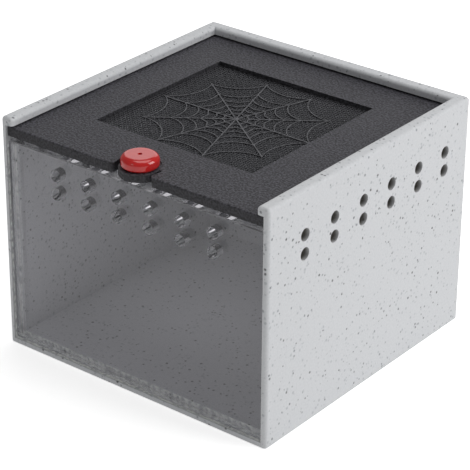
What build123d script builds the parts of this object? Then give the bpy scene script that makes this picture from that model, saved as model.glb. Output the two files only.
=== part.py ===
"""Small sliding-lid enclosure for a jumping spider.

A printed stone-look case holds a clear front panel in a rebate. A black lid with a
screened window slides forward in two side grooves, under a lip that runs round the rim.
X is to the right, Y to the back, Z up, in millimetres. The origin is the middle of the
underside of the case, so the open front faces -Y.
"""

import os
from math import cos, radians, sin, sqrt

from build123d import *

# Case, outside
WIDTH = 100.0
DEPTH = 100.0
HEIGHT = 76.5
WALL = 3.5
FLOOR = 3.5
CORNER_ROUND = 1.2
RIM_ROUND = 1.2
FOOT_ROUND = 0.6

# Clear front panel and the rebate that holds it
PANEL_THICK = 4.8
PANEL_RECESS = 1.0
PANEL_BITE = 1.7
PANEL_SIDE_GAP = 0.1
PANEL_TOP_GAP = 1.55
PANEL_EDGE = 0.3
RELIEF_WIDTH = 62.0
RELIEF_DEPTH = 0.8

# Grooves, ledge and lip that guide the lid
GROOVE_BITE = 1.7
GROOVE_HEIGHT = 3.7
LIP_HEIGHT = 2.5
LIP_REACH = 4.4
REAR_LIP_REACH = 4.55

# Lid
LID_THICK = 3.0
LID_SIDE_GAP = 0.25
LID_REAR_GAP = 0.2
LID_LIFT = 0.1
LID_FRONT_SET_BACK = 0.7
LID_EDGE_ROUND = 0.4

# Screened window in the lid
WINDOW = 59.0
WINDOW_FROM_REAR = 20.2
WINDOW_SHIFT = -1.35
MESH_BORDER = 2.3
MESH_THICK = 0.5
MESH_GAP = 0.1
RETAINER_THICK = 1.05
WEAVE_PITCH = 0.8
WEAVES_PER_GAP = 6
STRAND = 0.8

# Orb web laid on the screen
SPOKES = 10
WEB_RADIUS = 27.6
WEB_RING_SHARES = (1.0, 0.714, 0.54, 0.385, 0.265, 0.155)
WEB_SAG = 0.115
WEB_OFF_X = 0.75
WEB_OFF_Y = -0.65
STRAIGHT_BELOW = 12.0
THREAD_WIDTH = 0.45
THREAD_THICK = 0.3

# Thumb tab at the front of the lid
TAB_RADIUS = 6.3
TAB_OVERHANG = 1.35
TAB_STEP = 0.3
TAB_SLOT = 1.12
TAB_SLOT_END = 1.0
TAB_MOUTH_ROUND = 1.5

# Red grip cap on the tab, and the screw that holds it from below
CAP_RADIUS = 5.72
CAP_HEIGHT = 3.85
CAP_TOP_ROUND = 1.8
CAP_LOWER_ROUND = 0.85
CAP_FOOT_HEIGHT = 0.25
CAP_FOOT_INSET = 0.9
DIMPLE_RADIUS = 0.7
DIMPLE_DEPTH = 0.5
SCREW_RADIUS = 1.0
SCREW_HEAD_RADIUS = 2.0
SCREW_HEAD_DEPTH = 1.0
SCREW_BITE = 2.0
SCREW_FIT = 0.05
SCREW_TIP_ROOM = 0.3
SCREW_DRIVE = 1.3
SCREW_DRIVE_DEPTH = 0.6

# Vent holes
VENT_RADIUS = 2.0
VENT_COLUMNS = 6
VENT_ROWS = 2
VENT_ROW_PITCH = 6.0
VENT_BELOW_LEDGE = 10.8
SIDE_VENT_PITCH = 14.06
SIDE_VENT_SHIFT = 2.07
PANEL_VENT_PITCH = 11.8

# Places that follow from the sizes above
front_y = -DEPTH / 2
back_y = DEPTH / 2
past = 1.0
ledge_z = HEIGHT - LIP_HEIGHT - GROOVE_HEIGHT
groove_top_z = HEIGHT - LIP_HEIGHT
cavity_half = WIDTH / 2 - WALL
groove_half = cavity_half + GROOVE_BITE
groove_back_y = back_y - WALL + GROOVE_BITE
panel_half = cavity_half + PANEL_BITE
panel_floor_z = FLOOR - PANEL_BITE
panel_top_z = ledge_z - PANEL_TOP_GAP
step_y = front_y + PANEL_RECESS + PANEL_THICK
vent_z = ledge_z - VENT_BELOW_LEDGE
lid_z = ledge_z + LID_LIFT
lid_top_z = lid_z + LID_THICK
lid_half = groove_half - LID_SIDE_GAP
lid_front_y = front_y + LID_FRONT_SET_BACK
lid_back_y = groove_back_y - LID_REAR_GAP
window_y = back_y - WINDOW_FROM_REAR - WINDOW / 2
tab_y = front_y - TAB_OVERHANG + TAB_RADIUS
slot_radius = TAB_RADIUS + TAB_SLOT
mouth_y = lid_front_y + TAB_MOUTH_ROUND
mouth_x = sqrt((slot_radius + TAB_MOUTH_ROUND) ** 2 - (tab_y - mouth_y) ** 2)
tab_z = lid_z + TAB_STEP
tab_top_z = lid_top_z - TAB_STEP
web_x = WINDOW_SHIFT + WEB_OFF_X
web_y = window_y + WEB_OFF_Y
mesh_seat = WINDOW + 2 * MESH_BORDER
mesh_size = mesh_seat - 2 * MESH_GAP
mesh_z = lid_z + RETAINER_THICK
mesh_top_z = mesh_z + MESH_THICK


def slab(half_width, y_front, y_back, z_low, z_high, mode):
    """Add or cut a block centred on X, inside the part block that calls it."""
    with BuildSketch(Plane.XY.offset(z_low)) as base:
        with Locations((0, (y_front + y_back) / 2)):
            Rectangle(2 * half_width, y_back - y_front)
    extrude(base.sketch, amount=z_high - z_low, mode=mode)


def window_slab(side, z_low, z_high, mode):
    """Add or cut a square block centred on the lid's window."""
    with BuildSketch(Plane.XY.offset(z_low)) as base:
        with Locations((WINDOW_SHIFT, window_y)):
            Rectangle(side, side)
    extrude(base.sketch, amount=z_high - z_low, mode=mode)


def tab_disc(radius, z_low, z_high, mode):
    """Add or cut a round block on the axis of the thumb tab."""
    with BuildSketch(Plane.XY.offset(z_low)) as base:
        with Locations((0, tab_y)):
            Circle(radius)
    extrude(base.sketch, amount=z_high - z_low, mode=mode)


def finish(piece, name):
    """Label a finished piece and write it to its own file."""
    piece.label = name
    export_step(piece, f"parts/{name}.step")


os.makedirs("parts", exist_ok=True)

# Case: floor, back and two sides in one print, open at the front
with BuildPart() as shell:
    with BuildSketch():
        Rectangle(WIDTH, DEPTH)
    extrude(amount=HEIGHT)
    fillet(shell.edges().filter_by(Axis.Z), CORNER_ROUND)
    # Room for the spider, up to the underside of the lip
    slab(cavity_half, front_y - past, back_y - WALL, FLOOR, groove_top_z, Mode.SUBTRACT)
    # Side and rear grooves for the lid
    slab(groove_half, front_y - past, groove_back_y, ledge_z, groove_top_z, Mode.SUBTRACT)
    # Mouth between the lips
    slab(WIDTH / 2 - LIP_REACH, front_y - past, back_y - REAR_LIP_REACH,
         groove_top_z, HEIGHT + past, Mode.SUBTRACT)
    # Rebate for the front panel, down both sides and along the floor
    slab(panel_half, front_y - past, step_y, panel_floor_z, ledge_z, Mode.SUBTRACT)
    # Relief pocket under the middle of the panel
    slab(RELIEF_WIDTH / 2, front_y + PANEL_RECESS, step_y,
         panel_floor_z - RELIEF_DEPTH, panel_floor_z, Mode.SUBTRACT)
    # Soft corners where the lips end at the front, then along the whole rim and the foot
    lip_ends = shell.edges().filter_by(Axis.Z).filter_by_position(Axis.Y, front_y, front_y)
    fillet(lip_ends.filter_by_position(Axis.Z, groove_top_z, HEIGHT), CORNER_ROUND)
    fillet(shell.faces().sort_by(Axis.Z)[-1].edges(), RIM_ROUND)
    fillet(shell.faces().sort_by(Axis.Z)[0].edges(), FOOT_ROUND)
    # Vent holes straight through the right side wall
    with BuildSketch(Plane.YZ):
        with Locations((SIDE_VENT_SHIFT, vent_z)):
            with GridLocations(SIDE_VENT_PITCH, VENT_ROW_PITCH, VENT_COLUMNS, VENT_ROWS):
                Circle(VENT_RADIUS)
    extrude(amount=WIDTH, mode=Mode.SUBTRACT)
finish(shell.part, "shell")

# Clear front panel, bonded into the rebate
with BuildPart() as front_panel:
    slab(panel_half - PANEL_SIDE_GAP, front_y + PANEL_RECESS, step_y,
         panel_floor_z, panel_top_z, Mode.ADD)
    chamfer(front_panel.edges().filter_by(Axis.X), PANEL_EDGE)
    with BuildSketch(Plane.XZ.offset(-step_y)):
        with Locations((0, vent_z)):
            with GridLocations(PANEL_VENT_PITCH, VENT_ROW_PITCH, VENT_COLUMNS, VENT_ROWS):
                Circle(VENT_RADIUS)
    extrude(amount=PANEL_THICK + past, mode=Mode.SUBTRACT)
finish(front_panel.part, "front_panel")

# Lid: sliding plate with a window, a screen seat below and a thumb tab in front
with BuildPart() as lid:
    slab(lid_half, lid_front_y, lid_back_y, lid_z, lid_top_z, Mode.ADD)
    fillet(lid.faces().sort_by(Axis.Z)[-1].edges(), LID_EDGE_ROUND)
    # Slot round the tab, flared where it opens at the front
    with BuildSketch(Plane.XY.offset(lid_z)):
        with Locations((0, tab_y)):
            Circle(slot_radius)
        for side in (-1, 1):
            Polygon(
                (0, tab_y),
                (side * mouth_x, mouth_y),
                (side * mouth_x, lid_front_y),
                (0, lid_front_y),
                align=None,
            )
            with Locations((side * mouth_x, mouth_y)):
                Circle(TAB_MOUTH_ROUND, mode=Mode.SUBTRACT)
        with Locations((0, tab_y + TAB_SLOT_END)):
            Rectangle(2 * slot_radius, slot_radius,
                      align=(Align.CENTER, Align.MIN), mode=Mode.SUBTRACT)
    extrude(amount=LID_THICK, mode=Mode.SUBTRACT)
    # Tab, a little thinner than the plate on both faces
    tab_disc(TAB_RADIUS, lid_z, lid_top_z, Mode.SUBTRACT)
    tab_disc(TAB_RADIUS, tab_z, tab_top_z, Mode.ADD)
    # Window, and the seat for the screen below it
    window_slab(WINDOW, lid_z, lid_top_z, Mode.SUBTRACT)
    window_slab(mesh_seat, lid_z, mesh_top_z, Mode.SUBTRACT)
    # Screw hole through the tab, countersunk from below
    with Locations(Location((0, tab_y, tab_z), (180, 0, 0))):
        CounterSinkHole(SCREW_RADIUS + SCREW_FIT, SCREW_HEAD_RADIUS + SCREW_FIT)
finish(lid.part, "lid")

# Screen: woven cloth, drawn with one gap for every few of its weaves
drawn_pitch = WEAVE_PITCH * WEAVES_PER_GAP
gaps_across = int(WINDOW // drawn_pitch)
with BuildPart() as mesh_screen:
    with BuildSketch(Plane.XY.offset(mesh_z)):
        with Locations((WINDOW_SHIFT, window_y)):
            Rectangle(mesh_size, mesh_size)
            with GridLocations(drawn_pitch, drawn_pitch, gaps_across, gaps_across):
                Rectangle(drawn_pitch - STRAND, drawn_pitch - STRAND, mode=Mode.SUBTRACT)
    extrude(amount=MESH_THICK)
finish(mesh_screen.part, "mesh_screen")

# Thin frame that clamps the edge of the screen in its seat
with BuildPart() as mesh_retainer:
    window_slab(mesh_size, lid_z, mesh_z, Mode.ADD)
    window_slab(WINDOW, lid_z, mesh_z, Mode.SUBTRACT)
finish(mesh_retainer.part, "mesh_retainer")


def ring_outline(radius):
    """Closed outline through the spokes at one radius, sagging inward between them."""
    step = 360 / SPOKES
    mid_radius = radius * cos(radians(step / 2)) * (1 - WEB_SAG)
    for spoke in range(SPOKES):
        start = radians(step * spoke)
        middle = radians(step * (spoke + 0.5))
        end = radians(step * (spoke + 1))
        points = (
            (radius * cos(start), radius * sin(start)),
            (mid_radius * cos(middle), mid_radius * sin(middle)),
            (radius * cos(end), radius * sin(end)),
        )
        # The short runs near the hub are too small to show a curve
        if radius < STRAIGHT_BELOW:
            Polyline(*points)
        else:
            ThreePointArc(*points)


# Raised orb web on the screen: scalloped rings carried by straight spokes
with BuildPart() as web_threads:
    with BuildSketch(Plane.XY.offset(mesh_top_z).move(Location((web_x, web_y, 0)))):
        for share in WEB_RING_SHARES:
            with BuildSketch(mode=Mode.PRIVATE) as ring:
                with BuildLine():
                    ring_outline(share * WEB_RADIUS + THREAD_WIDTH / 2)
                make_face()
                with BuildLine():
                    ring_outline(share * WEB_RADIUS - THREAD_WIDTH / 2)
                make_face(mode=Mode.SUBTRACT)
            add(ring.sketch)
        with PolarLocations(0, SPOKES):
            Rectangle(WEB_RADIUS + THREAD_WIDTH, THREAD_WIDTH, align=(Align.MIN, Align.CENTER))
    extrude(amount=THREAD_THICK)
finish(web_threads.part, "web_threads")

# Red grip cap: a turned button with a small foot, a dimple and a pilot hole
cap_axis = Axis((0, tab_y, 0), (0, 0, 1))
cap_body_z = tab_top_z + CAP_FOOT_HEIGHT
cap_top_z = tab_top_z + CAP_HEIGHT
with BuildPart() as knob_cap:
    with BuildSketch(Plane.XZ.offset(-tab_y)) as profile:
        with Locations((0, cap_body_z)):
            Rectangle(CAP_RADIUS, cap_top_z - cap_body_z, align=Align.MIN)
        # The sketch's own Y runs up the cap's axis
        fillet(profile.vertices().group_by(Axis.Y)[0].sort_by(Axis.X)[-1], CAP_LOWER_ROUND)
        fillet(profile.vertices().group_by(Axis.Y)[-1].sort_by(Axis.X)[-1], CAP_TOP_ROUND)
        with Locations((0, tab_top_z)):
            Rectangle(CAP_RADIUS - CAP_FOOT_INSET, CAP_FOOT_HEIGHT, align=Align.MIN)
    revolve(axis=cap_axis)
    with Locations((0, tab_y, cap_top_z)):
        Hole(DIMPLE_RADIUS, DIMPLE_DEPTH)
    with Locations(Location((0, tab_y, tab_top_z), (180, 0, 0))):
        Hole(SCREW_RADIUS + SCREW_FIT, SCREW_BITE + SCREW_TIP_ROOM)
finish(knob_cap.part, "knob_cap")

# Countersunk screw that holds the cap, driven from under the tab
with BuildPart() as knob_screw:
    with BuildSketch(Plane.XZ.offset(-tab_y)):
        with BuildLine():
            Polyline(
                (0, tab_z),
                (SCREW_HEAD_RADIUS, tab_z),
                (SCREW_RADIUS, tab_z + SCREW_HEAD_DEPTH),
                (SCREW_RADIUS, tab_top_z + SCREW_BITE),
                (0, tab_top_z + SCREW_BITE),
                close=True,
            )
        make_face()
    revolve(axis=cap_axis)
    with BuildSketch(Plane.XY.offset(tab_z).move(Location((0, tab_y, 0)))):
        RegularPolygon(SCREW_DRIVE / 2, 6, major_radius=False)
    extrude(amount=SCREW_DRIVE_DEPTH, mode=Mode.SUBTRACT)
finish(knob_screw.part, "knob_screw")
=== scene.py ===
"""Studio picture of a small spider enclosure: speckled case, clear front, screened lid."""

import math

import bpy
from mathutils import Matrix, Vector


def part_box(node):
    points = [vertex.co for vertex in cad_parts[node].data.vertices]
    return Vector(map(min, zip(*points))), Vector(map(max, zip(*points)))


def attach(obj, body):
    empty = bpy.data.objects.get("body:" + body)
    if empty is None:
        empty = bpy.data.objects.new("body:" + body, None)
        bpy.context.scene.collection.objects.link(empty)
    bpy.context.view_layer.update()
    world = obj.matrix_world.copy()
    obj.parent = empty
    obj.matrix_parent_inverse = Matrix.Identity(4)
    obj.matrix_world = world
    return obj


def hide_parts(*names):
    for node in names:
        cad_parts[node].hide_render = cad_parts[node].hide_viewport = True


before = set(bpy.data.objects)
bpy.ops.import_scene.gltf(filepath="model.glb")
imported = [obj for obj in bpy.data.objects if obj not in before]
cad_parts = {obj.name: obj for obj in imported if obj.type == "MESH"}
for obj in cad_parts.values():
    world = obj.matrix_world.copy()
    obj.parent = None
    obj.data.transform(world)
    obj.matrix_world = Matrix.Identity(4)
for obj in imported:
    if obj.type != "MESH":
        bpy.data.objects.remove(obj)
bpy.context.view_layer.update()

MM = 0.001
WHITE = (1.0, 1.0, 1.0, 1.0)

# Camera, fitted to the corners of the box in the photograph
CAMERA_PLACE = (0.36207, -0.4616, 0.33217)
CAMERA_AZIMUTH = 38.18
CAMERA_ELEVATION = 27.00
CAMERA_ROLL = 0.42
FOCAL_PIXELS = 2138.43
PICTURE_PIXELS = 470
SENSOR = 36.0

# Light: name, place, size and power of each lamp, all aimed at the middle of the box
LAMP_TARGET = (0.0, 0.0, 40.0 * MM)
LAMPS = (
    ("right_lamp", (0.85, 0.35, 0.55), (0.6, 0.6), 5.05),
    ("top_lamp", (0.1, 0.1, 1.1), (0.9, 0.9), 4.9),
    ("back_lamp", (-0.55, 0.85, 0.5), (0.9, 0.6), 1.5),
    ("front_lamp", (-0.12, -0.91, 0.56), (0.11, 0.11), 0.4),
)
WORLD_STRENGTH = 0.18
FLOOR_SIZE = 8.0
FLOOR_GLOW = 0.22
FLOOR_GLOW_SEEN = 0.4
MOST_BOUNCES = 32
CLEAR_BOUNCES = 24

# Specks in the case: each has its own size, and a ragged outline
SPECK_LEAST = 0.45
SPECK_SPREAD = 0.7
SPECK_RAGGED = 0.25
SPECK_RAGGED_SCALE = 2600.0

# Clear sheet
ACRYLIC_IOR = 1.49
ACRYLIC_TINT = (0.935, 0.92, 0.97, 1.0)
ACRYLIC_LETS = (0.9, 0.9, 0.9, 1.0)
SAWN_CLEARNESS = 0.72

# Where the vent bores of the right wall are, and how far in from the face their painted shade
# grows
BORES_FROM_X = 46.0 * MM
BORES_TO_X = 50.0 * MM
BORES_SHADE = 1.6 * MM
BORES_FROM_Y = -40.0 * MM
BORES_TO_Y = 44.0 * MM
BORES_FROM_Z = 52.0 * MM
BORES_TO_Z = 66.0 * MM

# The rebate round the front panel, where light is painted, and the panel's sawn top edge
REBATE_FRONT_Y = -49.6 * MM
REBATE_BACK_Y = -44.1 * MM
REBATE_FROM_Z = 0.5 * MM
REBATE_TOP_Z = 3.4 * MM
REBATE_HEAD_Z = 69.0 * MM
REBATE_SIDE_X = 47.4 * MM
REBATE_TO_X = 49.0 * MM
SAWN_FROM_Z = 66.0 * MM

# Woven screen
WEAVE_PITCH = 1.0 * MM
WIRE_RADIUS = 0.21 * MM
WIRE_WAVE = 0.12 * MM


def srgb(red, green, blue):
    """Linear colour of an sRGB triple from 0 to 255."""
    def linear(value):
        share = value / 255
        return share / 12.92 if share <= 0.04045 else ((share + 0.055) / 1.055) ** 2.4
    return (linear(red), linear(green), linear(blue), 1.0)


# Shader groups

def new_group(name, inputs, outputs):
    """Empty shader group with float inputs and typed outputs."""
    group = bpy.data.node_groups.new(name, "ShaderNodeTree")
    for label, value in inputs:
        socket = group.interface.new_socket(label, in_out="INPUT", socket_type="NodeSocketFloat")
        socket.default_value = value
    for label, kind in outputs:
        group.interface.new_socket(label, in_out="OUTPUT", socket_type=kind)
    return group, group.nodes.new("NodeGroupInput"), group.nodes.new("NodeGroupOutput")


def math_node(tree, operation, first, second=None, clamp=False):
    """Math node fed by sockets or plain numbers."""
    node = tree.nodes.new("ShaderNodeMath")
    node.operation = operation
    node.use_clamp = clamp
    for index, value in enumerate((first, second)):
        if value is None:
            continue
        if isinstance(value, (int, float)):
            node.inputs[index].default_value = value
        else:
            tree.links.new(value, node.inputs[index])
    return node.outputs[0]


def specks_group():
    """Scattered specks: a mask, and a random tone for each speck."""
    group, given, made = new_group(
        "specks",
        [("Scale", 600.0), ("Radius", 0.3), ("Share", 0.3), ("Softness", 0.08)],
        [("Mask", "NodeSocketFloat"), ("Tone", "NodeSocketFloat")],
    )
    links = group.links
    place = group.nodes.new("ShaderNodeTexCoord")
    cells = group.nodes.new("ShaderNodeTexVoronoi")
    links.new(place.outputs["Object"], cells.inputs["Vector"])
    links.new(given.outputs["Scale"], cells.inputs["Scale"])
    tone = group.nodes.new("ShaderNodeSeparateColor")
    links.new(cells.outputs["Color"], tone.inputs["Color"])
    wobble = group.nodes.new("ShaderNodeTexNoise")
    wobble.inputs["Scale"].default_value = SPECK_RAGGED_SCALE
    links.new(place.outputs["Object"], wobble.inputs["Vector"])
    ragged = math_node(group, "MULTIPLY_ADD", wobble.outputs["Fac"], SPECK_RAGGED)
    links.new(cells.outputs["Distance"], ragged.node.inputs[2])
    size = math_node(group, "MULTIPLY_ADD", tone.outputs["Green"], SPECK_SPREAD)
    size.node.inputs[2].default_value = SPECK_LEAST
    radius = math_node(group, "MULTIPLY", size, given.outputs["Radius"])
    radius = math_node(group, "ADD", radius, SPECK_RAGGED / 2)
    short = math_node(group, "SUBTRACT", radius, ragged)
    edge = math_node(group, "DIVIDE", short, given.outputs["Softness"], clamp=True)
    chosen = math_node(group, "LESS_THAN", tone.outputs["Red"], given.outputs["Share"])
    links.new(math_node(group, "MULTIPLY", edge, chosen), made.inputs["Mask"])
    links.new(tone.outputs["Blue"], made.inputs["Tone"])
    return group


def grain_group():
    """Fine surface relief as a normal, with a mottle value for colour and roughness."""
    group, given, made = new_group(
        "grain",
        [("Scale", 1500.0), ("Detail", 3.0), ("Strength", 0.3), ("Depth", 0.1 * MM)],
        [("Normal", "NodeSocketVector"), ("Mottle", "NodeSocketFloat")],
    )
    links = group.links
    place = group.nodes.new("ShaderNodeTexCoord")
    noise = group.nodes.new("ShaderNodeTexNoise")
    links.new(place.outputs["Object"], noise.inputs["Vector"])
    links.new(given.outputs["Scale"], noise.inputs["Scale"])
    links.new(given.outputs["Detail"], noise.inputs["Detail"])
    bump = group.nodes.new("ShaderNodeBump")
    links.new(noise.outputs["Fac"], bump.inputs["Height"])
    links.new(given.outputs["Strength"], bump.inputs["Strength"])
    links.new(given.outputs["Depth"], bump.inputs["Distance"])
    links.new(bump.outputs["Normal"], made.inputs["Normal"])
    links.new(noise.outputs["Fac"], made.inputs["Mottle"])
    return group


SPECKS = specks_group()
GRAIN = grain_group()


# Material helpers

def new_material(name):
    """Material with its node tree and its Principled shader."""
    material = bpy.data.materials.new(name)
    material.use_nodes = True
    return material, material.node_tree, material.node_tree.nodes["Principled BSDF"]


def place_group(tree, group, **values):
    """Put a shader group in a material with its own values."""
    node = tree.nodes.new("ShaderNodeGroup")
    node.node_tree = group
    for label, value in values.items():
        node.inputs[label].default_value = value
    return node


def mix_colour(tree, factor, first, second):
    """Mix two colours, each a socket or a plain colour."""
    node = tree.nodes.new("ShaderNodeMix")
    node.data_type = "RGBA"
    if isinstance(factor, (int, float)):
        node.inputs[0].default_value = factor
    else:
        tree.links.new(factor, node.inputs[0])
    for socket, value in ((node.inputs[6], first), (node.inputs[7], second)):
        if isinstance(value, tuple):
            socket.default_value = value
        else:
            tree.links.new(value, socket)
    return node.outputs[2]


def spread(tree, value, low, high):
    """Stretch a value from 0..1 to low..high."""
    node = tree.nodes.new("ShaderNodeMapRange")
    node.inputs["To Min"].default_value = low
    node.inputs["To Max"].default_value = high
    tree.links.new(value, node.inputs["Value"])
    return node.outputs["Result"]


def place_and_facing(tree):
    """Object position and normal, each as X, Y and Z."""
    place = tree.nodes.new("ShaderNodeTexCoord")
    spot = tree.nodes.new("ShaderNodeSeparateXYZ")
    tree.links.new(place.outputs["Object"], spot.inputs["Vector"])
    facing = tree.nodes.new("ShaderNodeSeparateXYZ")
    tree.links.new(place.outputs["Normal"], facing.inputs["Vector"])
    return spot.outputs, facing.outputs


# Materials

def rebate_painted_light(tree):
    """Mask of painted light on the rebate behind the panel: pale ragged patches standing in for
    light carried in through the clear panel.
    """
    spot = place_and_facing(tree)[0]
    front = math_node(tree, "LESS_THAN", spot["Y"], REBATE_BACK_Y)
    inner = math_node(tree, "GREATER_THAN", spot["Y"], REBATE_FRONT_Y)
    foot = math_node(tree, "LESS_THAN", spot["Z"], REBATE_TOP_Z)
    above = math_node(tree, "GREATER_THAN", spot["Z"], REBATE_FROM_Z)
    side = math_node(tree, "GREATER_THAN", math_node(tree, "ABSOLUTE", spot["X"]), REBATE_SIDE_X)
    within = math_node(tree, "LESS_THAN", math_node(tree, "ABSOLUTE", spot["X"]), REBATE_TO_X)
    low = math_node(tree, "LESS_THAN", spot["Z"], REBATE_HEAD_Z)
    bands = math_node(tree, "MAXIMUM", math_node(tree, "MULTIPLY", foot, above), side)
    bands = math_node(tree, "MULTIPLY", bands, math_node(tree, "MULTIPLY", within, low))
    noise = tree.nodes.new("ShaderNodeTexNoise")
    noise.inputs["Scale"].default_value = 700.0
    noise.inputs["Detail"].default_value = 2.0
    place = tree.nodes.new("ShaderNodeTexCoord")
    tree.links.new(place.outputs["Object"], noise.inputs["Vector"])
    ragged = spread(tree, noise.outputs["Fac"], -2.2, 3.4)
    lit_patches = math_node(tree, "MULTIPLY", bands, math_node(tree, "MULTIPLY", front, inner))
    return math_node(tree, "MULTIPLY", lit_patches, ragged, clamp=True)


def bore_painted_shade(tree):
    """Mask of painted shade in the bores through the right wall, growing from the face inward.
    """
    spot, facing = place_and_facing(tree)
    depth = math_node(tree, "SUBTRACT", BORES_TO_X, spot["X"])
    depth = math_node(tree, "DIVIDE", depth, BORES_SHADE, clamp=True)
    bounds = (
        ("X", BORES_FROM_X, 1.0),
        ("Y", BORES_FROM_Y, BORES_TO_Y),
        ("Z", BORES_FROM_Z, BORES_TO_Z),
    )
    mask = math_node(tree, "LESS_THAN", math_node(tree, "ABSOLUTE", facing["X"]), 0.5)
    for axis, low, high in bounds:
        over = math_node(tree, "GREATER_THAN", spot[axis], low)
        under = math_node(tree, "LESS_THAN", spot[axis], high)
        mask = math_node(tree, "MULTIPLY", mask, math_node(tree, "MULTIPLY", over, under))
    return math_node(tree, "MULTIPLY", mask, depth)


def stone_plastic():
    """Pale grey plastic filled with soft grey specks and a few near-black ones."""
    material, tree, shader = new_material("stone_plastic")
    grain = place_group(tree, GRAIN, Scale=1500.0, Detail=3.0, Strength=0.2, Depth=0.08 * MM)
    colour = mix_colour(tree, grain.outputs["Mottle"], srgb(194, 196, 199), srgb(218, 219, 221))
    pale = place_group(tree, SPECKS, Scale=700.0, Radius=0.4, Share=0.55, Softness=0.26)
    colour = mix_colour(tree, math_node(tree, "MULTIPLY", pale.outputs["Mask"], 0.55),
                        colour, srgb(150, 155, 160))
    dark = place_group(tree, SPECKS, Scale=620.0, Radius=0.29, Share=0.55, Softness=0.15)
    ink = mix_colour(tree, dark.outputs["Tone"], srgb(46, 48, 50), srgb(156, 160, 164))
    colour = mix_colour(tree, math_node(tree, "MULTIPLY", dark.outputs["Mask"], 0.9),
                        colour, ink)
    # Painted shade: the inside of the right wall's vent bores is darkened, more so deeper in.
    colour = mix_colour(tree, bore_painted_shade(tree), colour, srgb(120, 117, 112))
    # Painted light: the rebate behind the panel is lightened to near white in ragged patches.
    colour = mix_colour(tree, rebate_painted_light(tree), colour, srgb(250, 252, 250))
    tree.links.new(colour, shader.inputs["Base Color"])
    tree.links.new(spread(tree, grain.outputs["Mottle"], 0.4, 0.6), shader.inputs["Roughness"])
    tree.links.new(grain.outputs["Normal"], shader.inputs["Normal"])
    return material


def pebbled_black(name, low, high, strength, scale):
    """Black plastic with a pebbled surface, and painted shade on the faces that don't face up or
    down.
    """
    material, tree, shader = new_material(name)
    grain = place_group(tree, GRAIN, Scale=scale, Detail=3.0, Strength=strength, Depth=0.4 * MM)
    contrast = spread(tree, grain.outputs["Mottle"], -2.2, 3.2)
    colour = mix_colour(tree, contrast, low, high)
    # Painted shade: faces that don't face up or down are darkened halfway towards near black.
    facing = place_and_facing(tree)[1]
    edge = math_node(tree, "LESS_THAN", math_node(tree, "ABSOLUTE", facing["Z"]), 0.5)
    colour = mix_colour(tree, math_node(tree, "MULTIPLY", edge, 0.5), colour, srgb(14, 14, 16))
    tree.links.new(colour, shader.inputs["Base Color"])
    tree.links.new(spread(tree, grain.outputs["Mottle"], 0.5, 0.75), shader.inputs["Roughness"])
    tree.links.new(grain.outputs["Normal"], shader.inputs["Normal"])
    return material


def clear_acrylic():
    """Clear polished sheet, see-through for lamp light and for light scattered behind it."""
    material, tree, shader = new_material("clear_acrylic")
    shader.inputs["Base Color"].default_value = ACRYLIC_TINT
    shader.inputs["IOR"].default_value = ACRYLIC_IOR
    shader.inputs["Roughness"].default_value = 0.0
    grain = place_group(tree, GRAIN, Scale=120.0, Detail=1.0, Strength=0.02, Depth=0.2 * MM)
    tree.links.new(grain.outputs["Normal"], shader.inputs["Normal"])
    spot, facing = place_and_facing(tree)
    sawn = math_node(tree, "MULTIPLY", math_node(tree, "GREATER_THAN", facing["Z"], 0.5),
                     math_node(tree, "GREATER_THAN", spot["Z"], SAWN_FROM_Z))
    tree.links.new(spread(tree, sawn, 1.0, SAWN_CLEARNESS), shader.inputs["Transmission Weight"])
    path = tree.nodes.new("ShaderNodeLightPath")
    lets = math_node(tree, "MAXIMUM", path.outputs["Is Shadow Ray"],
                     path.outputs["Is Diffuse Ray"])
    through = tree.nodes.new("ShaderNodeBsdfTransparent")
    through.inputs["Color"].default_value = ACRYLIC_LETS
    blend = tree.nodes.new("ShaderNodeMixShader")
    tree.links.new(lets, blend.inputs[0])
    tree.links.new(shader.outputs[0], blend.inputs[1])
    tree.links.new(through.outputs[0], blend.inputs[2])
    tree.links.new(blend.outputs[0], tree.nodes["Material Output"].inputs["Surface"])
    return material


def red_gloss():
    """Polished red plastic."""
    material, tree, shader = new_material("red_gloss")
    grain = place_group(tree, GRAIN, Scale=300.0, Detail=2.0, Strength=0.04, Depth=0.1 * MM)
    colour = mix_colour(tree, grain.outputs["Mottle"], srgb(190, 26, 26), srgb(204, 38, 36))
    tree.links.new(colour, shader.inputs["Base Color"])
    tree.links.new(spread(tree, grain.outputs["Mottle"], 0.08, 0.16), shader.inputs["Roughness"])
    tree.links.new(grain.outputs["Normal"], shader.inputs["Normal"])
    shader.inputs["Coat Weight"].default_value = 0.5
    shader.inputs["Coat Roughness"].default_value = 0.05
    return material


def zinc_steel():
    """Plain plated screw."""
    material, tree, shader = new_material("zinc_steel")
    shader.inputs["Metallic"].default_value = 1.0
    grain = place_group(tree, GRAIN, Scale=2500.0, Detail=2.0, Strength=0.1, Depth=0.03 * MM)
    colour = mix_colour(tree, grain.outputs["Mottle"], srgb(150, 152, 156), srgb(186, 188, 190))
    tree.links.new(colour, shader.inputs["Base Color"])
    tree.links.new(spread(tree, grain.outputs["Mottle"], 0.25, 0.45), shader.inputs["Roughness"])
    tree.links.new(grain.outputs["Normal"], shader.inputs["Normal"])
    return material


# Woven screen, built by geometry nodes

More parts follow.
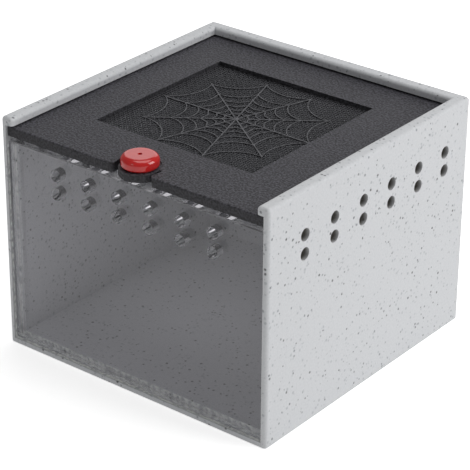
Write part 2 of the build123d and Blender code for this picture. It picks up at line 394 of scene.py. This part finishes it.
def screen_tree():
    """Node tree for a plain weave: wavy wires one way, then the same turned a quarter."""
    tree = bpy.data.node_groups.new("woven_screen", "GeometryNodeTree")
    face = tree.interface
    for label, kind in (("Wires", "NodeSocketInt"), ("Pitch", "NodeSocketFloat"),
                        ("Wire Radius", "NodeSocketFloat"), ("Wave", "NodeSocketFloat"),
                        ("Centre", "NodeSocketVector"), ("Material", "NodeSocketMaterial")):
        face.new_socket(label, in_out="INPUT", socket_type=kind)
    face.new_socket("Geometry", in_out="OUTPUT", socket_type="NodeSocketGeometry")
    nodes, links = tree.nodes, tree.links
    given = nodes.new("NodeGroupInput")
    made = nodes.new("NodeGroupOutput")

    def vector(x=None, y=None, z=None):
        node = nodes.new("ShaderNodeCombineXYZ")
        for index, value in enumerate((x, y, z)):
            if value is not None:
                links.new(value, node.inputs[index])
        return node.outputs[0]

    gaps = math_node(tree, "SUBTRACT", given.outputs["Wires"], 1)
    width = math_node(tree, "MULTIPLY", given.outputs["Pitch"], gaps)
    half = math_node(tree, "MULTIPLY", width, -0.5)
    index = nodes.new("GeometryNodeInputIndex").outputs[0]
    odd = math_node(tree, "MODULO", index, 2)
    sign = math_node(tree, "SUBTRACT", math_node(tree, "MULTIPLY", odd, 2), 1)

    wire = nodes.new("GeometryNodeMeshLine")
    links.new(given.outputs["Wires"], wire.inputs["Count"])
    links.new(vector(half), wire.inputs["Start Location"])
    links.new(vector(given.outputs["Pitch"]), wire.inputs["Offset"])
    wavy = nodes.new("GeometryNodeSetPosition")
    links.new(wire.outputs[0], wavy.inputs["Geometry"])
    wave = math_node(tree, "MULTIPLY", sign, given.outputs["Wave"])
    links.new(vector(None, None, wave), wavy.inputs["Offset"])
    curve = nodes.new("GeometryNodeMeshToCurve")
    links.new(wavy.outputs[0], curve.inputs[0])
    section = nodes.new("GeometryNodeCurvePrimitiveCircle")
    section.inputs["Resolution"].default_value = 4
    links.new(given.outputs["Wire Radius"], section.inputs["Radius"])
    tube = nodes.new("GeometryNodeCurveToMesh")
    links.new(curve.outputs[0], tube.inputs["Curve"])
    links.new(section.outputs[0], tube.inputs["Profile Curve"])
    tube.inputs["Fill Caps"].default_value = True

    joined = nodes.new("GeometryNodeJoinGeometry")
    for turn, phase in ((0.0, 0), (math.pi / 2, 1)):
        rows = nodes.new("GeometryNodeMeshLine")
        links.new(given.outputs["Wires"], rows.inputs["Count"])
        links.new(vector(None, half), rows.inputs["Start Location"])
        links.new(vector(None, given.outputs["Pitch"]), rows.inputs["Offset"])
        step = math_node(tree, "MODULO", math_node(tree, "ADD", index, phase), 2)
        shift = math_node(tree, "MULTIPLY", step, given.outputs["Pitch"])
        shifted = nodes.new("GeometryNodeSetPosition")
        links.new(rows.outputs[0], shifted.inputs["Geometry"])
        links.new(vector(shift), shifted.inputs["Offset"])
        laid = nodes.new("GeometryNodeInstanceOnPoints")
        links.new(shifted.outputs[0], laid.inputs["Points"])
        links.new(tube.outputs[0], laid.inputs["Instance"])
        turned = nodes.new("GeometryNodeTransform")
        links.new(laid.outputs[0], turned.inputs["Geometry"])
        turned.inputs["Rotation"].default_value = (0.0, 0.0, turn)
        links.new(turned.outputs[0], joined.inputs[0])
    moved = nodes.new("GeometryNodeTransform")
    links.new(joined.outputs[0], moved.inputs["Geometry"])
    links.new(given.outputs["Centre"], moved.inputs["Translation"])
    real = nodes.new("GeometryNodeRealizeInstances")
    links.new(moved.outputs[0], real.inputs[0])
    painted = nodes.new("GeometryNodeSetMaterial")
    links.new(real.outputs[0], painted.inputs["Geometry"])
    links.new(given.outputs["Material"], painted.inputs["Material"])
    links.new(painted.outputs[0], made.inputs[0])
    return tree


def grow(name, tree, values):
    """Run a geometry tree on an empty mesh and return the result as a plain mesh object."""
    holder = bpy.data.objects.new(name + "_holder", bpy.data.meshes.new(name + "_holder"))
    bpy.context.scene.collection.objects.link(holder)
    modifier = holder.modifiers.new("grow", "NODES")
    modifier.node_group = tree
    for socket in tree.interface.items_tree:
        if socket.in_out == "INPUT":
            modifier[socket.identifier] = values[socket.name]
    depsgraph = bpy.context.evaluated_depsgraph_get()
    mesh = bpy.data.meshes.new_from_object(holder.evaluated_get(depsgraph), depsgraph=depsgraph)
    mesh.name = name
    bpy.data.objects.remove(holder)
    piece = bpy.data.objects.new(name, mesh)
    bpy.context.scene.collection.objects.link(piece)
    return piece


def woven_screen(material):
    """The fine screen in the lid, in the place of the plain one."""
    low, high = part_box("mesh_screen")
    wires = int((high.x - low.x) / WEAVE_PITCH) - 1
    piece = grow("woven_screen", screen_tree(), {
        "Wires": wires,
        "Pitch": WEAVE_PITCH,
        "Wire Radius": WIRE_RADIUS,
        "Wave": WIRE_WAVE,
        "Centre": tuple((low + high) / 2),
        "Material": material,
    })
    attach(piece, "lid")
    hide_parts("mesh_screen")
    return piece


def dress(node, material):
    """Give a CAD piece its finish."""
    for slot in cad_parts[node].material_slots:
        slot.material = material


def dress_all():
    """Every piece gets its finish."""
    black = pebbled_black("pebbled_black", srgb(30, 29, 34), srgb(80, 79, 86), 1.0, 1500.0)
    cloth = pebbled_black("screen_cloth", srgb(52, 52, 56), srgb(66, 66, 70), 0.1, 900.0)
    thread = pebbled_black("grey_thread", srgb(64, 64, 68), srgb(96, 96, 100), 0.3, 900.0)
    dress("shell", stone_plastic())
    dress("front_panel", clear_acrylic())
    dress("lid", black)
    dress("mesh_retainer", black)
    dress("web_threads", thread)
    dress("knob_cap", red_gloss())
    dress("knob_screw", zinc_steel())
    woven_screen(cloth)


# Camera, floor and light

def make_camera():
    """Camera at the photograph's place and angle."""
    azimuth, elevation = math.radians(CAMERA_AZIMUTH), math.radians(CAMERA_ELEVATION)
    aim = Vector((-math.sin(azimuth) * math.cos(elevation),
                  math.cos(azimuth) * math.cos(elevation), -math.sin(elevation)))
    data = bpy.data.cameras.new("camera")
    data.sensor_width = SENSOR
    data.lens = FOCAL_PIXELS / PICTURE_PIXELS * SENSOR
    data.clip_start = 0.01
    data.clip_end = 10.0
    camera = bpy.data.objects.new("camera", data)
    bpy.context.scene.collection.objects.link(camera)
    turn = aim.to_track_quat("-Z", "Y").to_matrix().to_4x4()
    roll = Matrix.Rotation(math.radians(CAMERA_ROLL), 4, "Z")
    camera.matrix_world = Matrix.Translation(CAMERA_PLACE) @ turn @ roll
    bpy.context.scene.camera = camera


def make_floor():
    """White ground that keeps a soft shadow."""
    bpy.ops.mesh.primitive_plane_add(size=FLOOR_SIZE)
    floor = bpy.context.object
    floor.name = "floor"
    material, tree, shader = new_material("floor_white")
    shader.inputs["Base Color"].default_value = (0.9, 0.9, 0.9, 1.0)
    shader.inputs["Roughness"].default_value = 0.9
    shader.inputs["Emission Color"].default_value = WHITE
    path = tree.nodes.new("ShaderNodeLightPath")
    glow = math_node(tree, "MULTIPLY_ADD", path.outputs["Is Camera Ray"], FLOOR_GLOW_SEEN)
    glow.node.inputs[2].default_value = FLOOR_GLOW
    tree.links.new(glow, shader.inputs["Emission Strength"])
    floor.data.materials.append(material)


def area_lamp(name, place, target, size, power):
    """Rectangular soft lamp aimed at a point."""
    data = bpy.data.lights.new(name, "AREA")
    data.shape = "RECTANGLE"
    data.size, data.size_y = size
    data.energy = power
    lamp = bpy.data.objects.new(name, data)
    bpy.context.scene.collection.objects.link(lamp)
    lamp.location = place
    lamp.rotation_euler = (Vector(target) - Vector(place)).to_track_quat("-Z", "Y").to_euler()


def make_light():
    """Even pale surroundings, seen as plain white, with the soft lamps."""
    world = bpy.data.worlds.new("studio")
    bpy.context.scene.world = world
    world.use_nodes = True
    nodes, links = world.node_tree.nodes, world.node_tree.links
    background = nodes["Background"]
    background.inputs["Color"].default_value = WHITE
    background.inputs["Strength"].default_value = WORLD_STRENGTH
    seen = nodes.new("ShaderNodeBackground")
    seen.inputs["Color"].default_value = WHITE
    seen.inputs["Strength"].default_value = 1.0
    path = nodes.new("ShaderNodeLightPath")
    blend = nodes.new("ShaderNodeMixShader")
    links.new(path.outputs["Is Camera Ray"], blend.inputs[0])
    links.new(background.outputs[0], blend.inputs[1])
    links.new(seen.outputs[0], blend.inputs[2])
    links.new(blend.outputs[0], nodes["World Output"].inputs["Surface"])
    for name, place, size, power in LAMPS:
        area_lamp(name, place, LAMP_TARGET, size, power)


dress_all()
make_camera()
make_floor()
make_light()
bpy.context.scene.view_settings.view_transform = "Standard"
bpy.context.scene.cycles.max_bounces = MOST_BOUNCES
bpy.context.scene.cycles.glossy_bounces = CLEAR_BOUNCES
bpy.context.scene.cycles.transmission_bounces = CLEAR_BOUNCES
